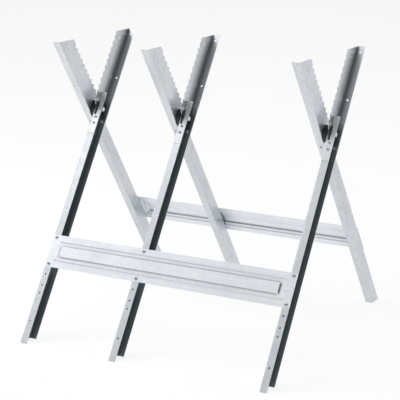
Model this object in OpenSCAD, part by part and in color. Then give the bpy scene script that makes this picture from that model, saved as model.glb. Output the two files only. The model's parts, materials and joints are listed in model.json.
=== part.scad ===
// Folding sawhorse: three scissor frames of folded steel channel, joined by two pressed braces.
// X runs along the log, Y to the rear, Z up. The origin is on the floor, below the middle of the sawhorse.

/* [Overall] */
// Height of the arm tops above the floor
height = 800; // [790:5:820]
// Height of the three pivots above the floor
pivot_height = 585; // [575:5:595]
// Lean of every leg from the vertical, in degrees
leg_tilt = 34; // [33:0.5:35]
// Distance from the left frame to the middle frame
left_bay = 286; // [260:1:320]
// Distance from the middle frame to the right frame
right_bay = 450; // [400:1:480]

/* [Channel] */
// Thickness of the folded sheet
sheet = 1.5; // [1.2:0.1:1.6]
// Outer width of the leg channel across its web
leg_width = 40; // [38:0.5:42]
// Outer depth of the leg channel, web face to flange edge
leg_flange = 21; // [20:0.5:24]
// Outer radius of each fold
bend_radius = 3; // [2.5:0.1:3.5]
// How far the leg channel reaches above the pivot
leg_head = 45; // [30:1:60]

/* [Toothed arms] */
// How far the arm reaches below the pivot, over the leg
arm_tail = 84; // [75:1:100]
// How far the tooth tips stand out past the leg edge, towards the log
tooth_reach = 19; // [16:0.5:22]
// Distance between tooth tips along the arm
tooth_pitch = 19.8; // [19:0.1:20]
// Length of each upright tooth flank
tooth_flank = 13; // [10:0.5:14]
// Number of teeth on each arm
tooth_count = 11; // [8:1:11]
// Distance from the pivot to the lowest tooth tip
first_tooth = 20; // [16:1:24]
// Radius of the corner at the top of the arm
arm_corner = 9; // [6:1:12]

/* [Pivots] */
// Diameter of the plastic pivot discs
disc_d = 48; // [42:1:48]
// Thickness of one disc between the webs
disc_t = 7.8; // [7:0.1:8.5]
// Gap between the two discs of a pivot
disc_gap = 0.4; // [0.3:0.05:0.6]
// Thickness of the plastic block inside each channel
block_t = 6.5; // [5:0.5:7]
// Diameter of the pivot bolt
pivot_d = 8; // [6:1:8]
// How far the rear frame folds, in degrees
fold_angle = 67; // [60:1:67]

/* [Braces] */
// Width of the pressed brace plate
brace_width = 94.5; // [92:0.5:96]
// Thickness of the brace sheet
brace_t = 1.2; // [1:0.1:1.5]
// Distance from the pivot to the middle line of the brace, along the leg
brace_drop = 446.5; // [440:0.5:455]
// Distance between the two bolts of one leg
brace_bolt_gap = 78.5; // [77:0.5:80]
// Width of the lower raised step
step_width = 56; // [52:1:58]
// Width of the raised centre panel
panel_width = 34; // [28:1:36]
// Height of the lower step
step_rise = 2.2; // [1.5:0.1:3]
// Height of the centre panel above the step
panel_rise = 3.6; // [2:0.1:4]

/* [Fasteners] */
// Diameter of the brace bolts
brace_bolt_d = 6; // [5:1:6]
// Diameter of the bolts that join arm and leg
splice_bolt_d = 5; // [4:1:5]
// Diameter of the spare holes
spare_hole_d = 6; // [4:0.5:7]

/* [Hidden] */
$fn = 48;
HULL_FN = 32;
CUT = 1;
leg_colour = [0.80, 0.82, 0.85];
arm_colour = [0.84, 0.86, 0.89];
brace_colour = [0.82, 0.84, 0.87];
plastic_colour = [0.05, 0.05, 0.06];
zinc_colour = [0.66, 0.68, 0.72];

// Frame positions, with the outer two at equal distances from the origin
left_x = -(left_bay + right_bay) / 2;
middle_x = left_x + left_bay;
right_x = -left_x;
frames = [left_x, middle_x, right_x];

// Layers along X from the middle of a pivot outwards
arm_x = disc_t + disc_gap / 2;
leg_x = arm_x + sheet;
block_x = leg_x + sheet;
washer_x = block_x + block_t;
flange_edge = leg_x + leg_flange;
flange_mid = leg_x + leg_flange / 2;

// Widths across the leg, measured from its middle line
leg_half = leg_width / 2;
inner_half = leg_half - sheet;
arm_half = leg_half + sheet;
tip_half = leg_half + tooth_reach;

// Stations along the leg below the pivot
relief_half = disc_d / 2 + 1.5;
relief_width = block_t + 0.1;
tab_top = relief_half + CUT;
splice_near = 33;
splice_far = 52;
spare_drops = [515.5, 548, 571, 654];
brace_bolt_drops = [brace_drop - brace_bolt_gap / 2, brace_drop + brace_bolt_gap / 2];

// Stations along the arm above the pivot
flange_hole_ups = [111, 255];
web_hole_up = 227;
web_hole_off = 10;

// Pivot fasteners
running_fit = 0.05;
pivot_bore_r = pivot_d / 2 + running_fit;
running_gap = 0.3;
slide_fit = 0.15;
washer_r = pivot_d;
washer_t = 1.6;
pivot_head_w = 13;
pivot_head_t = 5.3;
pivot_nut_t = 8;
pivot_tail = 1.2;

// Travel stop between the two discs of a pivot
stop_ring_r = 16;
stop_peg_r = 2.2;
stop_slot_r = 2.5;
stop_depth = 4;
stop_peg_h = 3.5;
stop_start = 200;
stop_end_angle = asin(stop_slot_r / stop_ring_r);
groove_w = 1.1;
groove_depth = 0.9;

// Small fasteners
hole_gap = 0.2;
head_ratio = 0.9;
head_rise = 0.5;
nut_ratio = 0.8;
nut_width_ratio = 5 / 3;
thread_end = 1.2;
socket_ratio = 0.33;
socket_depth = 0.3;

// Raised steps of the brace
panel_end_gap = 14.5;
step_side_run = 2.4;
step_end_run = 9;
panel_side_run = 2.2;
panel_end_run = 4.5;
step_corner = 3;
panel_corner = 5;
slit_w = 0.9;
slit_end_gap = 12.5;
tip_step = [-tooth_flank * sin(leg_tilt), tooth_flank * cos(leg_tilt)];

// Height along the leg, above the pivot, of the arm's level top
function top_up(y) = (height - pivot_height + y * sin(leg_tilt)) / cos(leg_tilt);

// Drawing frames of the front legs and of the rear legs: Z up along the leg, -Y towards the log
module front_place(x) {
    translate([x, 0, pivot_height])
        rotate([-leg_tilt, 0, 0])
            children();
}

module rear_place(x) {
    translate([x, 0, pivot_height])
        rotate([0, 0, 180])
            rotate([-leg_tilt, 0, 0])
                children();
}

// Everything between the floor and the top, seen from the drawing frame of a leg
module level_slab() {
    rotate([leg_tilt, 0, 0])
        translate([-height / 2, -height, -pivot_height])
            cube([height, 2 * height, height]);
}

// One folded corner: a web along Y and a flange along X
module corner_2d(start, reach, high, radius) {
    translate([start + radius, -CUT])
        square([reach - radius, high + CUT]);
    translate([start, -CUT])
        square([radius, high + CUT - radius]);
    translate([start + radius, high - radius])
        circle(r = radius);
}

module angle_2d(start, reach, high) {
    difference() {
        corner_2d(start, reach, high, bend_radius);
        translate([0, -CUT])
            corner_2d(start + sheet, reach, high + CUT - sheet, bend_radius - sheet);
    }
}

module flange_hole(up, radius, side) {
    translate([flange_mid, 0, up])
        rotate([-90 * side, 0, 0])
            cylinder(r = radius, h = leg_half + 2 * sheet);
}

module log_side_hole(up, radius) {
    flange_hole(up, radius, -1);
}

module outer_side_hole(up, radius) {
    flange_hole(up, radius, 1);
}

module pivot_hole() {
    translate([-CUT, 0, 0])
        rotate([0, 90, 0])
            cylinder(r = pivot_bore_r, h = flange_edge);
}

module splice_holes() {
    for (drop = [splice_near, splice_far])
        log_side_hole(-drop, splice_bolt_d / 2 + hole_gap);
    outer_side_hole(-splice_near, splice_bolt_d / 2 + hole_gap);
}

// Lower leg: a plain channel from the floor to just above the pivot
module leg() {
    leg_run = (pivot_height + leg_half) / cos(leg_tilt) + leg_half;
    color(leg_colour)
        difference() {
            intersection() {
                translate([0, 0, -leg_run])
                    linear_extrude(leg_run + leg_head) {
                        angle_2d(leg_x, leg_flange, leg_half);
                        mirror([0, 1])
                            angle_2d(leg_x, leg_flange, leg_half);
                    }
                level_slab();
            }
            pivot_hole();
            splice_holes();
            for (drop = brace_bolt_drops)
                log_side_hole(-drop, brace_bolt_d / 2 + hole_gap);
            for (drop = spare_drops)
                log_side_hole(-drop, spare_hole_d / 2);
            translate([leg_x - CUT, -leg_half - CUT, -relief_half])
                cube([CUT + sheet + relief_width, CUT + bend_radius, 2 * relief_half]);
        }
}

// Outline of the arm's web from the leg's middle line to the tooth tips, in Y and Z
function arm_outline() =
    let (
        tips = [for (k = [0:tooth_count - 1]) [-tip_half, first_tooth + k * tooth_pitch]],
        corner_y = arm_corner - tip_half,
        corner_z = top_up(corner_y) - arm_corner / cos(leg_tilt),
        arc_start = 180,
        arc_end = 90 + leg_tilt,
        arc_steps = 8
    )
    concat(
        [[0, -tab_top], [-leg_half, -tab_top], [-leg_half, first_tooth - tooth_reach]],
        [for (k = [0:2 * tooth_count - 2])
            k % 2 == 0 ? tips[k / 2] : tips[(k + 1) / 2] - tip_step],
        [for (k = [0:arc_steps])
            let (a = arc_start + (arc_end - arc_start) * k / arc_steps)
            [corner_y + arm_corner * cos(a), corner_z + arm_corner * sin(a)]],
        [[0, top_up(0)]]
    );

// Upper arm: toothed web, full outer flange, and a short tab folded over the leg below the pivot
module arm() {
    arm_flange = leg_flange + sheet;
    arm_run = arm_tail + top_up(arm_half);
    color(arm_colour)
        difference() {
            intersection() {
                union() {
                    translate([0, 0, -arm_tail])
                        linear_extrude(arm_run)
                            angle_2d(arm_x, arm_flange, arm_half);
                    translate([0, 0, -arm_tail])
                        linear_extrude(arm_tail - tab_top)
                            mirror([0, 1])
                                angle_2d(arm_x, arm_flange, arm_half);
                    translate([arm_x, 0, 0])
                        rotate([90, 0, 90])
                            linear_extrude(sheet)
                                polygon(arm_outline());
                }
                level_slab();
            }
            pivot_hole();
            splice_holes();
            for (up = flange_hole_ups)
                outer_side_hole(up, spare_hole_d / 2);
            translate([0, -web_hole_off, web_hole_up])
                rotate([0, 90, 0])
                    cylinder(d = spare_hole_d, h = leg_x + CUT);
        }
}

// Raised pad on the plane Z = 0, with slopes of their own run at the ends and at the sides
module raised_pad(length, width, rise, corner, end_run, side_run) {
    foot_x = length / 2 - corner;
    foot_y = width / 2 - corner;
    hull()
        for (x = [-1, 1], y = [-1, 1]) {
            translate([x * foot_x, y * foot_y, -CUT])
                cylinder(r = corner, h = CUT, $fn = HULL_FN);
            translate([x * (foot_x - end_run), y * (foot_y - side_run), rise - CUT])
                cylinder(r = corner, h = CUT, $fn = HULL_FN);
        }
}

// Both raised pads of the brace, one on the other, over the plane Z = 0
module pressed_pads(centre, step_length) {
    panel_length = step_length - 2 * panel_end_gap;
    translate([centre, 0, 0])
        raised_pad(step_length, step_width, step_rise, step_corner, step_end_run, step_side_run);
    translate([centre, 0, step_rise])
        raised_pad(panel_length, panel_width, panel_rise, panel_corner, panel_end_run, panel_side_run);
}

// Brace plate in its own plane: X along the plate, Y across it, outside face up
module brace_plate(first, last, inner_first, inner_last) {
    step_length = inner_last - inner_first;
    centre = (inner_first + inner_last) / 2;
    slit_length = step_width - 2 * step_side_run;
    difference() {
        union() {
            translate([first, -brace_width / 2, 0])
                cube([last - first, brace_width, brace_t]);
            translate([0, 0, brace_t])
                pressed_pads(centre, step_length);
        }
        pressed_pads(centre, step_length);
        translate([inner_first + slit_end_gap, -slit_length / 2, 0])
            cube([slit_w, slit_length, brace_t + step_rise + CUT]);
        for (x = frames, y = [-1, 1])
            translate([x, y * brace_bolt_gap / 2, -CUT])
                cylinder(d = brace_bolt_d + 2 * hole_gap, h = brace_t + 2 * CUT);
    }
}

// Brace on the outer face of the log-side flanges of the front legs
module front_brace() {
    color(brace_colour)
        translate([0, 0, pivot_height])
            rotate([-leg_tilt, 0, 0])
                translate([0, -leg_half, -brace_drop])
                    rotate([90, 0, 0])
                        translate([flange_mid, 0, 0])
                            brace_plate(
                                left_x - leg_flange / 2,
                                right_x + leg_flange / 2,
                                left_x + leg_flange / 2,
                                right_x - leg_flange / 2
                            );
}

module rear_brace() {
    translate([-2 * flange_mid, 0, 0])
        mirror([0, 1, 0])
            front_brace();
}

// Button head with a hexagon socket and its shaft, head upwards, seat at Z = 0
module button_bolt(size, grip) {
    head_r = size * head_ratio;
    head_h = size * head_rise;
    dome_r = (head_r * head_r + head_h * head_h) / (2 * head_h);
    difference() {
        intersection() {
            cylinder(r = head_r, h = head_h);
            translate([0, 0, head_h - dome_r])
                sphere(r = dome_r);
        }
        translate([0, 0, socket_depth * size / 2])
            cylinder(r = size * socket_ratio, h = size, $fn = 6);
    }
    translate([0, 0, -grip])
        cylinder(d = size, h = grip);
}

module hex_nut(size, width, thick) {
    difference() {
        cylinder(d = width / cos(30), h = thick, $fn = 6);
        translate([0, 0, -CUT])
            cylinder(r = size / 2 + running_fit, h = thick + 2 * CUT);
    }
}

// Puts a fastener on a flange face, pointing out of the channel; side is -1 at the log side
module on_flange(face, up, side) {
    translate([flange_mid, side * face, up])
        rotate([-90 * side, 0, 0])
            children();
}

module brace_bolt_set() {
    grip = brace_t + sheet + nut_ratio * brace_bolt_d + thread_end;
    for (drop = brace_bolt_drops)
        on_flange(leg_half + brace_t, -drop, -1)
            button_bolt(brace_bolt_d, grip);
}

module brace_nut_set() {
    thick = nut_ratio * brace_bolt_d;
    for (drop = brace_bolt_drops)
        on_flange(inner_half - thick, -drop, -1)
            hex_nut(brace_bolt_d, brace_bolt_d * nut_width_ratio, thick);
}

module splice_positions(face) {
    for (drop = [splice_near, splice_far])
        on_flange(face, -drop, -1)
            children();
    on_flange(face, -splice_near, 1)
        children();
}

module splice_bolt_set() {
    grip = 2 * sheet + nut_ratio * splice_bolt_d + thread_end;
    splice_positions(arm_half)
        button_bolt(splice_bolt_d, grip);
}

module splice_nut_set() {
    thick = nut_ratio * splice_bolt_d;
    splice_positions(inner_half - thick)
        hex_nut(splice_bolt_d, splice_bolt_d * nut_width_ratio, thick);
}

// Places something on a pivot with its Z axis along X
module on_pivot(x) {
    translate([x, 0, pivot_height])
        rotate([0, 90, 0])
            children();
}

module rim_grooves() {
    for (z = [disc_t / 3, 2 * disc_t / 3])
        translate([0, 0, z - groove_w / 2])
            difference() {
                cylinder(d = disc_d + CUT, h = groove_w);
                translate([0, 0, -CUT])
                    cylinder(r = disc_d / 2 - groove_depth, h = groove_w + 2 * CUT);
            }
}

module pivot_disc_blank() {
    difference() {
        cylinder(d = disc_d, h = disc_t);
        translate([0, 0, -CUT])
            cylinder(r = pivot_bore_r, h = disc_t + 2 * CUT);
        rim_grooves();
    }
}

// Disc on the front arm, with the peg that limits how far the sawhorse opens
module stop_disc(x) {
    color(plastic_colour)
        on_pivot(x) {
            translate([0, 0, disc_gap / 2])
                pivot_disc_blank();
            rotate([0, 0, stop_start])
                translate([stop_ring_r, 0, -stop_peg_h])
                    cylinder(r = stop_peg_r, h = stop_peg_h + disc_gap);
        }
}

// Disc on the rear arm, with the curved slot in which the peg travels
module slot_disc(x) {
    color(plastic_colour)
        on_pivot(x)
            difference() {
                translate([0, 0, -disc_gap / 2 - disc_t])
                    pivot_disc_blank();
                translate([0, 0, -stop_depth])
                    rotate([0, 0, stop_start - stop_end_angle])
                        rotate_extrude(angle = fold_angle + 2 * stop_end_angle)
                            translate([stop_ring_r - stop_slot_r, 0])
                                square([2 * stop_slot_r, stop_depth + CUT]);
            }
}

// Plastic block that fills the channel behind the pivot: a disc with a flat beside the outer flange's bend
module pivot_block() {
    flat_y = inner_half - (bend_radius - sheet) - slide_fit;
    color(plastic_colour)
        difference() {
            intersection() {
                translate([block_x, 0, 0])
                    rotate([0, 90, 0])
                        cylinder(d = disc_d, h = block_t);
                translate([0, -disc_d, -disc_d])
                    cube([flange_edge, disc_d + flat_y, 2 * disc_d]);
            }
            pivot_hole();
        }
}

module pivot_bolt(x) {
    rear_end = washer_x + running_gap + washer_t + pivot_nut_t + pivot_tail;
    seat = washer_x + washer_t;
    color(zinc_colour)
        on_pivot(x) {
            translate([0, 0, -rear_end])
                cylinder(d = pivot_d, h = rear_end + seat);
            translate([0, 0, seat])
                cylinder(d = pivot_head_w / cos(30), h = pivot_head_t, $fn = 6);
        }
}

module pivot_nut(x) {
    color(zinc_colour)
        on_pivot(x)
            translate([0, 0, -washer_x - running_gap - washer_t - pivot_nut_t])
                hex_nut(pivot_d, pivot_head_w, pivot_nut_t);
}

module washer() {
    difference() {
        cylinder(r = washer_r, h = washer_t);
        translate([0, 0, -CUT])
            cylinder(r = pivot_d / 2 + hole_gap, h = washer_t + 2 * CUT);
    }
}

module pivot_washer_set() {
    color(zinc_colour)
        for (x = frames)
            on_pivot(x) {
                translate([0, 0, washer_x])
                    washer();
                translate([0, 0, -washer_x - running_gap - washer_t])
                    washer();
            }
}

module front_group(colour) {
    color(colour)
        for (x = frames)
            front_place(x)
                children();
}

module rear_group(colour) {
    color(colour)
        for (x = frames)
            rear_place(x)
                children();
}

front_place(left_x) leg();  // leg_front_left
front_place(middle_x) leg();  // leg_front_middle
front_place(right_x) leg();  // leg_front_right
rear_place(left_x) leg();  // leg_rear_left
rear_place(middle_x) leg();  // leg_rear_middle
rear_place(right_x) leg();  // leg_rear_right
front_place(left_x) arm();  // arm_front_left
front_place(middle_x) arm();  // arm_front_middle
front_place(right_x) arm();  // arm_front_right
rear_place(left_x) arm();  // arm_rear_left
rear_place(middle_x) arm();  // arm_rear_middle
rear_place(right_x) arm();  // arm_rear_right
front_brace();  // brace_front
rear_brace();  // brace_rear
front_group(zinc_colour) brace_bolt_set();  // brace_bolts_front
rear_group(zinc_colour) brace_bolt_set();  // brace_bolts_rear
front_group(zinc_colour) brace_nut_set();  // brace_nuts_front
rear_group(zinc_colour) brace_nut_set();  // brace_nuts_rear
front_group(zinc_colour) splice_bolt_set();  // splice_bolts_front
rear_group(zinc_colour) splice_bolt_set();  // splice_bolts_rear
front_group(zinc_colour) splice_nut_set();  // splice_nuts_front
rear_group(zinc_colour) splice_nut_set();  // splice_nuts_rear
stop_disc(left_x);  // stop_disc_left
stop_disc(middle_x);  // stop_disc_middle
stop_disc(right_x);  // stop_disc_right
slot_disc(left_x);  // slot_disc_left
slot_disc(middle_x);  // slot_disc_middle
slot_disc(right_x);  // slot_disc_right
front_place(left_x) pivot_block();  // pivot_block_front_left
front_place(middle_x) pivot_block();  // pivot_block_front_middle
front_place(right_x) pivot_block();  // pivot_block_front_right
rear_place(left_x) pivot_block();  // pivot_block_rear_left
rear_place(middle_x) pivot_block();  // pivot_block_rear_middle
rear_place(right_x) pivot_block();  // pivot_block_rear_right
pivot_bolt(left_x);  // pivot_bolt_left
pivot_bolt(middle_x);  // pivot_bolt_middle
pivot_bolt(right_x);  // pivot_bolt_right
pivot_nut(left_x);  // pivot_nut_left
pivot_nut(middle_x);  // pivot_nut_middle
pivot_nut(right_x);  // pivot_nut_right
pivot_washer_set();  // pivot_washers
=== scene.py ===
"""Folding steel log sawhorse: materials, detailed fasteners and a studio round the CAD frame."""
import json
import math

import bmesh
import bpy
from mathutils import Matrix, Vector


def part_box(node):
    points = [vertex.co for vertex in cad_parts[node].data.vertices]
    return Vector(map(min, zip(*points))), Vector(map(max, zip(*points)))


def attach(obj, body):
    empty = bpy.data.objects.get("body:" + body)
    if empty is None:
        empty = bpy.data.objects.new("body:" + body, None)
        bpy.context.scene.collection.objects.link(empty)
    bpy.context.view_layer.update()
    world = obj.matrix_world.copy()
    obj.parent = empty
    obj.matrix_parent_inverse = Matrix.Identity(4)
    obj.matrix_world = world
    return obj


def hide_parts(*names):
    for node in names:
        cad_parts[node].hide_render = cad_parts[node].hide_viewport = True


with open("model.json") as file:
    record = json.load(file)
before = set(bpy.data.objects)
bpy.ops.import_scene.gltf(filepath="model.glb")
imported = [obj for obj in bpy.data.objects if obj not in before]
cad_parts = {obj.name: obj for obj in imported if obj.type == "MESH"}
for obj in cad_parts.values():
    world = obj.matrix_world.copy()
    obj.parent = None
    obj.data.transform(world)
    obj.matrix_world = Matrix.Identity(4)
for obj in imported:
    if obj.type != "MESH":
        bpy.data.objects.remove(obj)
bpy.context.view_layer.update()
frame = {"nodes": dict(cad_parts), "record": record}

MM = 0.001
LEG_TILT = math.radians(34)
SIDES = ("front", "rear")
FRAMES = ("left", "middle", "right")


# ---------------------------------------------------------------- camera

CAMERA_PLACE = Vector((1.9076, -3.4832, 1.3884))
CAMERA_YAW = math.radians(29.006)
CAMERA_PITCH = math.radians(-12.988)
LENS_MM = 130.52
SENSOR_MM = 36
VIEW_REACH = 60
LENS_SHIFT_Y = -0.10


def make_camera():
    data = bpy.data.cameras.new("camera")
    data.lens = LENS_MM
    data.sensor_width = SENSOR_MM
    data.shift_y = LENS_SHIFT_Y
    data.clip_end = VIEW_REACH
    camera = bpy.data.objects.new("camera", data)
    bpy.context.collection.objects.link(camera)
    camera.location = CAMERA_PLACE
    camera.rotation_euler = (math.pi / 2 + CAMERA_PITCH, 0, CAMERA_YAW)
    bpy.context.scene.camera = camera


make_camera()


# ---------------------------------------------------------------- material helpers


class Nodes:
    """A small wrapper that keeps material recipes short."""

    def __init__(self, name):
        self.material = bpy.data.materials.new(name)
        self.material.use_nodes = True
        self.tree = self.material.node_tree
        self.tree.nodes.clear()
        self.shader = self.add("ShaderNodeBsdfPrincipled")
        output = self.add("ShaderNodeOutputMaterial")
        self.link(self.shader.outputs["BSDF"], output.inputs["Surface"])

    def add(self, kind, **settings):
        node = self.tree.nodes.new(kind)
        for key, value in settings.items():
            setattr(node, key, value)
        return node

    def link(self, source, target):
        self.tree.links.new(source, target)

    def place(self, scale=(1, 1, 1), turn=(0, 0, 0)):
        """Object coordinates, turned and scaled, for a texture."""
        coords = self.add("ShaderNodeTexCoord")
        turned = self.add("ShaderNodeMapping", vector_type="POINT")
        turned.inputs["Rotation"].default_value = turn
        stretched = self.add("ShaderNodeMapping", vector_type="POINT")
        stretched.inputs["Scale"].default_value = scale
        self.link(coords.outputs["Object"], turned.inputs["Vector"])
        self.link(turned.outputs["Vector"], stretched.inputs["Vector"])
        return stretched.outputs["Vector"]

    def noise(self, where, scale, detail=3.0, roughness=0.5):
        node = self.add("ShaderNodeTexNoise")
        node.inputs["Scale"].default_value = scale
        node.inputs["Detail"].default_value = detail
        node.inputs["Roughness"].default_value = roughness
        self.link(where, node.inputs["Vector"])
        return node.outputs["Fac"]

    def cells(self, where, scale):
        node = self.add("ShaderNodeTexVoronoi")
        node.inputs["Scale"].default_value = scale
        self.link(where, node.inputs["Vector"])
        separate = self.add("ShaderNodeSeparateColor")
        self.link(node.outputs["Color"], separate.inputs["Color"])
        return separate.outputs["Red"]

    def span(self, value, low, high, out_low, out_high):
        node = self.add("ShaderNodeMapRange")
        limits = {"From Min": low, "From Max": high, "To Min": out_low, "To Max": out_high}
        for name, number in limits.items():
            node.inputs[name].default_value = number
        self.link(value, node.inputs["Value"])
        return node.outputs["Result"]

    def math(self, operation, first, second):
        node = self.add("ShaderNodeMath", operation=operation)
        for socket, value in zip(node.inputs, (first, second)):
            if isinstance(value, (int, float)):
                socket.default_value = value
            else:
                self.link(value, socket)
        return node.outputs["Value"]

    def total(self, first, second):
        """The sum of two values, each given with its share."""
        parts = [self.math("MULTIPLY", value, share) for value, share in (first, second)]
        return self.math("ADD", *parts)

    def ramp(self, value, stops):
        node = self.add("ShaderNodeValToRGB")
        ramp = node.color_ramp
        while len(ramp.elements) < len(stops):
            ramp.elements.new(0.5)
        for element, (position, colour) in zip(ramp.elements, stops):
            element.position = position
            element.color = (*colour, 1)
        self.link(value, node.inputs["Fac"])
        return node.outputs["Color"]

    def bump(self, height, strength, distance):
        node = self.add("ShaderNodeBump")
        node.inputs["Strength"].default_value = strength
        node.inputs["Distance"].default_value = distance
        self.link(height, node.inputs["Height"])
        self.link(node.outputs["Normal"], self.shader.inputs["Normal"])

    def hollows(self, reach):
        """Between 1 on open faces and 0 deep inside a channel or a crease."""
        occlusion = self.add("ShaderNodeAmbientOcclusion", samples=8, only_local=True)
        occlusion.inputs["Distance"].default_value = reach
        return occlusion.outputs["AO"]

    def blend(self, amount, first, second):
        """A mix of two colours, each a tuple or a socket."""
        mix = self.add("ShaderNodeMix", data_type="RGBA")
        self.link(amount, mix.inputs["Factor"])
        for name, colour in (("A", first), ("B", second)):
            if isinstance(colour, tuple):
                mix.inputs[name].default_value = (*colour, 1)
            else:
                self.link(colour, mix.inputs[name])
        return mix.outputs["Result"]

    def edge_highlight_mask(self, radius):
        """Between 0 on open faces and 1 along sharp edges."""
        bevel = self.add("ShaderNodeBevel", samples=4)
        bevel.inputs["Radius"].default_value = radius
        geometry = self.add("ShaderNodeNewGeometry")
        dot = self.add("ShaderNodeVectorMath", operation="DOT_PRODUCT")
        self.link(bevel.outputs["Normal"], dot.inputs[0])
        self.link(geometry.outputs["Normal"], dot.inputs[1])
        return self.span(dot.outputs["Value"], 0.98, 0.80, 0.0, 1.0)


# The edge colour is a painted highlight; the crease, channel and recess colours are painted shade.
PAINTED_EDGE_HIGHLIGHT = (0.93, 0.94, 0.96)
SHEET_METALLIC = 0.75
PAINTED_CHANNEL_SHADE = (0.22, 0.265, 0.275)
PAINTED_CREASE_SHADE = (0.24, 0.26, 0.29)
PAINTED_RECESS_SHADE = (0.08, 0.085, 0.09)
CREASE_REACH = 10 * MM
CHANNEL_REACH = 60 * MM
RECESS_REACH = 4 * MM
EDGE_HIGHLIGHT_WIDTH = 0.7 * MM


def galvanised(name, turn, light, dark):
    """Galvanised sheet: faint spangle, lines along the part, grey painted shade in the channels and
    creases, a painted highlight along sharp edges.
    """
    nodes = Nodes(name)
    plain = nodes.place()
    along = nodes.place(scale=(1, 1, 0.025), turn=turn)
    spangle = nodes.cells(plain, 120)
    fine_spangle = nodes.cells(plain, 420)
    clouds = nodes.noise(plain, 9, 4, 0.55)
    lines = nodes.noise(along, 260, 3, 0.6)
    stains = nodes.noise(plain, 38, 5, 0.7)
    mottled = nodes.total((spangle, 0.09), (fine_spangle, 0.06))
    drawn = nodes.total((lines, 0.42), (clouds, 0.36))
    mixed = nodes.math("ADD", nodes.math("ADD", mottled, drawn), nodes.math("MULTIPLY", stains, 0.14))
    middle = tuple((a + b) / 2 for a, b in zip(light, dark))
    sheet = nodes.ramp(mixed, ((0.30, dark), (0.48, middle), (0.66, light)))
    # painted shade: a darker colour in the creases where faces meet
    open_near = nodes.span(nodes.hollows(CREASE_REACH), 0.62, 0.97, 0.0, 1.0)
    crease_shaded = nodes.blend(open_near, PAINTED_CREASE_SHADE, sheet)
    # painted shade: a dark grey colour deep inside the channels, where shadow falls
    open_far = nodes.span(nodes.hollows(CHANNEL_REACH), 0.38, 0.86, 0.0, 1.0)
    channel_shaded = nodes.blend(open_far, PAINTED_CHANNEL_SHADE, crease_shaded)
    # painted highlight: a bright colour along the sharp edges and folds
    colour = nodes.blend(nodes.edge_highlight_mask(EDGE_HIGHLIGHT_WIDTH), channel_shaded, PAINTED_EDGE_HIGHLIGHT)
    nodes.link(colour, nodes.shader.inputs["Base Color"])
    nodes.link(nodes.span(mixed, 0.30, 0.68, 0.44, 0.30), nodes.shader.inputs["Roughness"])
    nodes.shader.inputs["Metallic"].default_value = SHEET_METALLIC
    relief = nodes.total((lines, 0.6), (spangle, 0.15))
    nodes.bump(relief, 0.2, 0.0004)
    return nodes.material


def zinc_plate(name):
    """Zinc plate of the bolts, nuts and washers, with painted shade in the recesses."""
    nodes = Nodes(name)
    plain = nodes.place()
    haze = nodes.noise(plain, 220, 3, 0.6)
    scuffs = nodes.noise(plain, 900, 2, 0.5)
    plated = nodes.ramp(haze, ((0.3, (0.50, 0.52, 0.55)), (0.7, (0.74, 0.76, 0.79))))
    # painted shade: a near black colour in the sockets, thread roots and other recesses
    open_near = nodes.span(nodes.hollows(RECESS_REACH), 0.50, 0.95, 0.0, 1.0)
    colour = nodes.blend(open_near, PAINTED_RECESS_SHADE, plated)
    nodes.link(colour, nodes.shader.inputs["Base Color"])
    nodes.link(nodes.span(scuffs, 0.3, 0.7, 0.12, 0.26), nodes.shader.inputs["Roughness"])
    nodes.shader.inputs["Metallic"].default_value = 1.0
    nodes.bump(scuffs, 0.15, 0.0002)
    return nodes.material


def black_nylon(name):
    """Moulded black nylon with a fine spark-eroded grain."""
    nodes = Nodes(name)
    plain = nodes.place()
    grain = nodes.noise(plain, 1500, 2, 0.5)
    bloom = nodes.noise(plain, 60, 4, 0.6)
    colour = nodes.ramp(bloom, ((0.3, (0.010, 0.011, 0.013)), (0.7, (0.030, 0.032, 0.036))))
    nodes.link(colour, nodes.shader.inputs["Base Color"])
    nodes.link(nodes.span(grain, 0.3, 0.7, 0.42, 0.60), nodes.shader.inputs["Roughness"])
    nodes.bump(grain, 0.35, 0.0002)
    return nodes.material


LEG_LIGHT, LEG_DARK = (0.70, 0.73, 0.76), (0.50, 0.53, 0.57)
ARM_LIGHT, ARM_DARK = (0.78, 0.80, 0.83), (0.60, 0.63, 0.67)
FRONT_TURN, REAR_TURN = (LEG_TILT, 0, 0), (-LEG_TILT, 0, 0)
BRACE_TURN = (0, math.pi / 2, 0)
LEG_STEEL = {
    "front": galvanised("leg_steel_front", FRONT_TURN, LEG_LIGHT, LEG_DARK),
    "rear": galvanised("leg_steel_rear", REAR_TURN, LEG_LIGHT, LEG_DARK),
}
ARM_STEEL = {
    "front": galvanised("arm_steel_front", FRONT_TURN, ARM_LIGHT, ARM_DARK),
    "rear": galvanised("arm_steel_rear", REAR_TURN, ARM_LIGHT, ARM_DARK),
}
BRACE_STEEL = galvanised("brace_steel", BRACE_TURN, (0.86, 0.88, 0.91), (0.68, 0.72, 0.77))
ZINC = zinc_plate("zinc_plate")
NYLON = black_nylon("black_nylon")


def material_of(node):
    side = "rear" if "rear" in node else "front"
    if node.startswith("leg_"):
        return LEG_STEEL[side]
    if node.startswith("arm_"):
        return ARM_STEEL[side]
    if node in ("brace_front", "brace_rear"):
        return BRACE_STEEL
    if "disc" in node or "block" in node:
        return NYLON
    return ZINC


def dress_cad_nodes():
    for name, piece in frame["nodes"].items():
        for slot in piece.material_slots:
            slot.material = material_of(name)


dress_cad_nodes()


# ---------------------------------------------------------------- detailed fasteners


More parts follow.
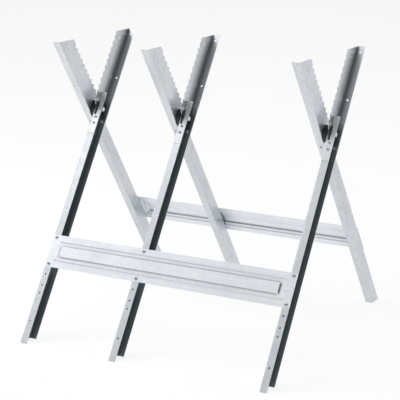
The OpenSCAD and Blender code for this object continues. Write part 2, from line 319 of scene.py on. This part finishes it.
PIVOT_HEIGHT = frame["record"]["behaviour"]["joints"][0]["pos_m"][2]
LIFT = Matrix.Translation((0, 0, PIVOT_HEIGHT))
LEG_PLACE = {
    "front": LIFT @ Matrix.Rotation(-LEG_TILT, 4, "X"),
    "rear": LIFT @ Matrix.Rotation(math.pi, 4, "Z") @ Matrix.Rotation(-LEG_TILT, 4, "X"),
}
BODY = {"front": "front_frame", "rear": "rear_frame"}
BRACE_BOLT = 6 * MM
SPLICE_BOLT = 5 * MM
PIVOT_RADIUS = 4 * MM
PIVOT_PITCH = 1.25 * MM
PIVOT_THREAD = 18 * MM
PIVOT_HEAD_HIGH = 5.3 * MM
RUNNING_FIT = 0.05 * MM
WASHER_PLAY = 0.2 * MM
STEPS = 48
SHARP_ANGLE = math.radians(35)
HEX_STEP = math.radians(60)


def loose_boxes(piece, to_local):
    """The box of each separate solid of a CAD node, in a local frame."""
    mesh = piece.data
    parent = list(range(len(mesh.vertices)))

    def root(k):
        while parent[k] != k:
            parent[k] = parent[parent[k]]
            k = parent[k]
        return k

    spots = {}
    for vertex in mesh.vertices:
        key = tuple(round(value, 6) for value in vertex.co)
        parent[vertex.index] = root(spots.setdefault(key, vertex.index))
    for edge in mesh.edges:
        first, second = (root(k) for k in edge.vertices)
        parent[max(first, second)] = min(first, second)
    groups = {}
    for vertex in mesh.vertices:
        groups.setdefault(root(vertex.index), []).append(to_local @ piece.matrix_world @ vertex.co)
    boxes = []
    for points in groups.values():
        low = Vector([min(point[axis] for point in points) for axis in range(3)])
        high = Vector([max(point[axis] for point in points) for axis in range(3)])
        boxes.append((low, high))
    return boxes


def ring_radius(radius, flats, turn):
    """A circle's radius, cut back by the flats of a hexagon where flats isn't 0."""
    if not flats:
        return radius
    off = turn % HEX_STEP - HEX_STEP / 2
    return min(radius, flats / 2 / math.cos(off))


def lathe(shape, rings, place, closed=False):
    """Adds a turned solid from rings of (radius, height, flats); closed joins the last to the first."""
    loops = []
    for radius, height, flats in rings:
        loop = []
        for k in range(STEPS):
            turn = 2 * math.pi * k / STEPS
            reach = ring_radius(radius, flats, turn)
            corner = Vector((reach * math.cos(turn), reach * math.sin(turn), height))
            loop.append(shape.verts.new(place @ corner))
        loops.append(loop)
    pairs = list(zip(loops, loops[1:]))
    if closed:
        pairs.append((loops[-1], loops[0]))
    else:
        shape.faces.new(list(reversed(loops[0])))
        shape.faces.new(loops[-1])
    for lower, upper in pairs:
        for k in range(STEPS):
            after = (k + 1) % STEPS
            shape.faces.new((lower[k], lower[after], upper[after], upper[k]))


def thread_rings(radius, pitch, start, end):
    """Rings of a V thread from the height start up to end, with a chamfer at the start."""
    depth = 0.54 * pitch
    rings = [(radius - depth, start, 0)]
    turns = int((end - start - pitch) / pitch)
    for k in range(turns):
        foot = start + pitch * (k + 0.6)
        rings += [(radius, foot, 0), (radius - depth, foot + pitch / 2, 0)]
    rings.append((radius, start + pitch * (turns + 0.6), 0))
    rings.append((radius, end, 0))
    return rings


def finish_fastener(shape, body, node):
    """Turns the shape into the zinc-plated piece that replaces a CAD node."""
    name = f"{node}_detailed"
    mesh = bpy.data.meshes.new(name)
    bmesh.ops.recalc_face_normals(shape, faces=shape.faces)
    shape.to_mesh(mesh)
    shape.free()
    piece = bpy.data.objects.new(name, mesh)
    bpy.context.collection.objects.link(piece)
    mesh.materials.append(ZINC)
    mesh.shade_smooth()
    mesh.set_sharp_from_angle(angle=SHARP_ANGLE)
    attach(piece, body)
    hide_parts(node)


def button_bolt(shape, place, size, head_high, end):
    """Button head bolt with a hexagon socket: seat at height 0, the thread's end at -end."""
    head = 0.9 * size
    crown = [
        (head, 0.10 * head_high, 0),
        (head, 0.22 * head_high, 0),
        (0.95 * head, 0.45 * head_high, 0),
        (0.84 * head, 0.68 * head_high, 0),
        (0.70 * head, 0.87 * head_high, 0),
        (0.56 * head, 0.98 * head_high, 0),
        (0.50 * head, head_high, 0),
    ]
    flats = 0.62 * size
    socket = [
        (0.43 * size, head_high, 0),
        (0.36 * size, 0.90 * head_high, flats),
        (0.36 * size, 0.20 * head_high, flats),
        (0.04 * size, 0.08 * head_high, 0),
    ]
    shank = thread_rings(size / 2, size / 6, -end, -0.1 * MM)
    lathe(shape, shank + [(0.97 * head, 0, 0)] + crown + socket, place)


def chamfered_hex(flats, low, high, bore):
    """Rings of a hexagon nut, chamfered at both ends, with a countersunk bore."""
    corner = flats / 2 / math.cos(HEX_STEP / 2)
    face = 0.48 * flats
    drop = 0.06 * flats
    return [
        (bore, low + drop, 0),
        (bore + drop / 2, low, 0),
        (face, low, 0),
        (corner, low + drop, flats),
        (corner, high - drop, flats),
        (face, high, 0),
        (bore + drop / 2, high, 0),
        (bore, high - drop, 0),
    ]


def outward(side_y):
    """A turn that points a fastener out of the channel: -1 at the log side, 1 at the outer side."""
    return Matrix.Rotation(-side_y * math.pi / 2, 4, "X")


def flange_spots(node, side):
    """The place, side and depth of each fastener on the flanges of one side's legs."""
    to_local = LEG_PLACE[side].inverted()
    for low, high in loose_boxes(frame["nodes"][node], to_local):
        middle = (low + high) / 2
        side_y = 1 if middle.y > 0 else -1
        yield middle, side_y, low, high


def flange_bolts(kind, side, size):
    node = f"{kind}_bolts_{side}"
    head_high = 0.5 * size
    shape = bmesh.new()
    for middle, side_y, low, high in flange_spots(node, side):
        top = high.y if side_y > 0 else low.y
        seat = Vector((middle.x, top - side_y * head_high, middle.z))
        depth = high.y - low.y - head_high
        place = LEG_PLACE[side] @ Matrix.Translation(seat) @ outward(side_y)
        button_bolt(shape, place, size, head_high, depth)
    finish_fastener(shape, BODY[side], node)


def flange_nuts(kind, side, size):
    node = f"{kind}_nuts_{side}"
    shape = bmesh.new()
    for middle, side_y, low, high in flange_spots(node, side):
        place = LEG_PLACE[side] @ Matrix.Translation(middle) @ outward(side_y)
        half = (high.y - low.y) / 2
        rings = chamfered_hex(high.z - low.z, -half, half, size / 2 + RUNNING_FIT)
        lathe(shape, rings, place, closed=True)
    finish_fastener(shape, BODY[side], node)


def on_pivot(x):
    """The place of a part on a pivot, with its Z axis along X."""
    return Matrix.Translation((x, 0, PIVOT_HEIGHT)) @ Matrix.Rotation(math.pi / 2, 4, "Y")


def pivot_bolt(name):
    """Hexagon bolt: threaded end, plain shank, washer face, chamfered head with a shallow recess."""
    low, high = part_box(f"pivot_bolt_{name}")
    flats = high.y - low.y
    corner = flats / 2 / math.cos(HEX_STEP / 2)
    end = low.x - high.x
    seat = -PIVOT_HEAD_HIGH
    head = [
        (PIVOT_RADIUS, seat, 0),
        (0.46 * flats, seat, 0),
        (0.46 * flats, seat + 0.3 * MM, 0),
        (corner, seat + 0.3 * MM, flats),
        (corner, -0.9 * MM, flats),
        (0.47 * flats, 0, 0),
        (0.36 * flats, 0, 0),
        (0.34 * flats, -0.35 * MM, 0),
    ]
    rings = thread_rings(PIVOT_RADIUS, PIVOT_PITCH, end, end + PIVOT_THREAD) + head
    shape = bmesh.new()
    lathe(shape, rings, on_pivot(high.x))
    finish_fastener(shape, BODY["front"], f"pivot_bolt_{name}")


def pivot_nut(name):
    """Locking nut: a chamfered hexagon with a rolled collar at the bolt's end."""
    low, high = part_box(f"pivot_nut_{name}")
    flats = high.y - low.y
    corner = flats / 2 / math.cos(HEX_STEP / 2)
    bore = PIVOT_RADIUS + RUNNING_FIT
    thick = high.x - low.x
    rings = [
        (bore, 0.3 * MM, 0),
        (bore + 0.3 * MM, 0, 0),
        (0.38 * flats, 0, 0),
        (0.43 * flats, 0.5 * MM, 0),
        (0.43 * flats, 1.9 * MM, 0),
        (0.48 * flats, 2.0 * MM, 0),
        (corner, 2.7 * MM, flats),
        (corner, thick - 0.8 * MM, flats),
        (0.48 * flats, thick, 0),
        (bore + 0.6 * MM, thick, 0),
        (bore, thick - 0.6 * MM, 0),
    ]
    shape = bmesh.new()
    lathe(shape, rings, on_pivot(low.x), closed=True)
    finish_fastener(shape, BODY["front"], f"pivot_nut_{name}")


def pivot_washers():
    """Punched washers with a rolled outer edge on the punch side."""
    shape = bmesh.new()
    for low, high in loose_boxes(frame["nodes"]["pivot_washers"], Matrix.Identity(4)):
        radius = (high.y - low.y) / 2
        bore = PIVOT_RADIUS + WASHER_PLAY
        thick = high.x - low.x
        rings = [
            (bore, 0.1 * MM, 0),
            (bore + 0.1 * MM, 0, 0),
            (radius - 0.15 * MM, 0, 0),
            (radius, 0.15 * MM, 0),
            (radius, thick - 0.5 * MM, 0),
            (radius - 0.2 * MM, thick - 0.15 * MM, 0),
            (radius - 0.6 * MM, thick, 0),
            (bore + 0.1 * MM, thick, 0),
            (bore, thick - 0.1 * MM, 0),
        ]
        lathe(shape, rings, on_pivot(low.x), closed=True)
    finish_fastener(shape, BODY["front"], "pivot_washers")


for leg_side in SIDES:
    for fastener_kind, fastener_size in (("brace", BRACE_BOLT), ("splice", SPLICE_BOLT)):
        flange_bolts(fastener_kind, leg_side, fastener_size)
        flange_nuts(fastener_kind, leg_side, fastener_size)
for frame_name in FRAMES:
    pivot_bolt(frame_name)
    pivot_nut(frame_name)
pivot_washers()


# ---------------------------------------------------------------- studio


FLOOR_GLOW = 0.82
FLOOR_SIZE = 30.0
FLOOR_DARK, FLOOR_LIGHT = (0.23, 0.23, 0.23), (0.26, 0.26, 0.26)


def make_floor():
    mesh = bpy.data.meshes.new("floor")
    half = FLOOR_SIZE / 2
    corners = [(-half, -half, 0), (half, -half, 0), (half, half, 0), (-half, half, 0)]
    mesh.from_pydata(corners, [], [(0, 1, 2, 3)])
    floor = bpy.data.objects.new("floor", mesh)
    bpy.context.collection.objects.link(floor)
    nodes = Nodes("floor_paint")
    tone = nodes.noise(nodes.place(), 0.7, 2, 0.5)
    paint = nodes.ramp(tone, ((0.3, FLOOR_DARK), (0.7, FLOOR_LIGHT)))
    nodes.link(paint, nodes.shader.inputs["Base Color"])
    nodes.shader.inputs["Roughness"].default_value = 0.9
    nodes.shader.inputs["Emission Color"].default_value = (1, 1, 1, 1)
    nodes.shader.inputs["Emission Strength"].default_value = FLOOR_GLOW
    mesh.materials.append(nodes.material)


def make_light(name, place, aim, size, power):
    data = bpy.data.lights.new(name, "AREA")
    data.shape = "RECTANGLE"
    data.size, data.size_y = size
    data.energy = power
    light = bpy.data.objects.new(name, data)
    bpy.context.collection.objects.link(light)
    light.location = place
    light.rotation_euler = (Vector(aim) - Vector(place)).to_track_quat("-Z", "Y").to_euler()


class WorldNodes:
    """A small wrapper for the studio surroundings."""

    def __init__(self, name):
        world = bpy.data.worlds.new(name)
        world.use_nodes = True
        bpy.context.scene.world = world
        self.tree = world.node_tree
        self.tree.nodes.clear()
        self.direction = self.add("ShaderNodeTexCoord").outputs["Generated"]

    def add(self, kind, **settings):
        node = self.tree.nodes.new(kind)
        for key, value in settings.items():
            setattr(node, key, value)
        return node

    def link(self, source, target):
        self.tree.links.new(source, target)

    def patch(self, aim, full, none):
        """1 within the angle full of the direction aim, 0 beyond the angle none."""
        dot = self.add("ShaderNodeVectorMath", operation="DOT_PRODUCT")
        dot.inputs[1].default_value = Vector(aim).normalized()
        self.link(self.direction, dot.inputs[0])
        spread = self.add("ShaderNodeMapRange", interpolation_type="SMOOTHSTEP")
        spread.inputs["From Min"].default_value = math.cos(math.radians(none))
        spread.inputs["From Max"].default_value = math.cos(math.radians(full))
        self.link(dot.outputs["Value"], spread.inputs["Value"])
        return spread.outputs["Result"]

    def paint(self, under, amount, tone):
        """Mixes a tone over the colour so far."""
        mix = self.add("ShaderNodeMix", data_type="RGBA")
        self.link(amount, mix.inputs["Factor"])
        if isinstance(under, tuple):
            mix.inputs["A"].default_value = (*under, 1)
        else:
            self.link(under, mix.inputs["A"])
        mix.inputs["B"].default_value = (*tone, 1)
        return mix.outputs["Result"]


# Each patch of the surroundings: direction, full within, gone beyond (degrees), tone
BASE_TONE = (0.62, 0.64, 0.66)
PATCHES = (
    ((-0.3, 0.75, 0.6), 18, 50, (0.22, 0.23, 0.25)),
    ((0.6, 0.8, -0.1), 20, 60, (0.95, 0.96, 0.98)),
    ((-0.42, -0.55, 0.72), 14, 40, (1.32, 1.32, 1.33)),
    ((0.02, -0.64, 0.77), 9, 22, (2.4, 2.4, 2.4)),
    ((0.72, -0.40, 0.58), 24, 38, (0.012, 0.016, 0.018)),
)
STUDIO_STRENGTH = 0.55


def make_world():
    world = WorldNodes("studio")
    colour = BASE_TONE
    for aim, full, none, tone in PATCHES:
        colour = world.paint(colour, world.patch(aim, full, none), tone)
    studio = world.add("ShaderNodeBackground")
    studio.inputs["Strength"].default_value = STUDIO_STRENGTH
    world.link(colour, studio.inputs["Color"])
    white = world.add("ShaderNodeBackground")
    white.inputs["Color"].default_value = (1, 1, 1, 1)
    mix = world.add("ShaderNodeMixShader")
    world.link(world.add("ShaderNodeLightPath").outputs["Is Camera Ray"], mix.inputs["Fac"])
    world.link(studio.outputs["Background"], mix.inputs[1])
    world.link(white.outputs["Background"], mix.inputs[2])
    world.link(mix.outputs["Shader"], world.add("ShaderNodeOutputWorld").inputs["Surface"])


make_floor()
make_light("key", (-3.4, -1.2, 3.4), (0, 0, 0.4), (3.0, 3.0), 48)
make_light("top", (0.0, 0.8, 4.2), (0, 0, 0.4), (3.6, 3.6), 35)
make_world()
bpy.context.scene.view_settings.view_transform = "Standard"
